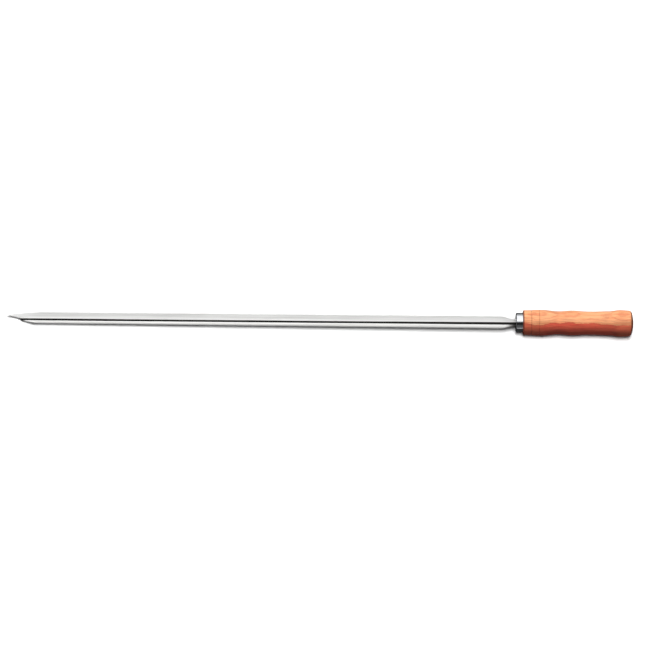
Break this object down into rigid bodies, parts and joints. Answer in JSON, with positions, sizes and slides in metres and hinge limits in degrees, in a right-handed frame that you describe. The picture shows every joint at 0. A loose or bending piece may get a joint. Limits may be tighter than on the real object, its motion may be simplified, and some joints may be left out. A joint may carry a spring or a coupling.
{
  "type": "roasting skewer",
  "caption": "Long V-section steel skewer with a slanting point, a drawn steel ferrule and a turned wooden handle.",
  "frame": {"origin": "under the middle of the length, on the skewer's middle plane, level with the lowest point of the handle", "axes": "+X along the skewer from the point to the butt, +Z out of the open side of the V, the point on the +Y leaf"},
  "size_m": [0.75, 0.0318, 0.0318],
  "materials": {
    "blade_steel": "bright rolled stainless sheet with fine streaks along its length",
    "ferrule_steel": "polished drawn stainless steel",
    "handle_wood": "orange-red turned hardwood under a satin varnish, grain along the handle",
    "adhesive": "hardened two-part resin, hidden inside the handle"
  },
  "bodies": {
    "root": {"blade": "blade_steel", "ferrule": "ferrule_steel", "handle": "handle_wood", "tang_adhesive": "adhesive"}
  },
  "joints": []
}
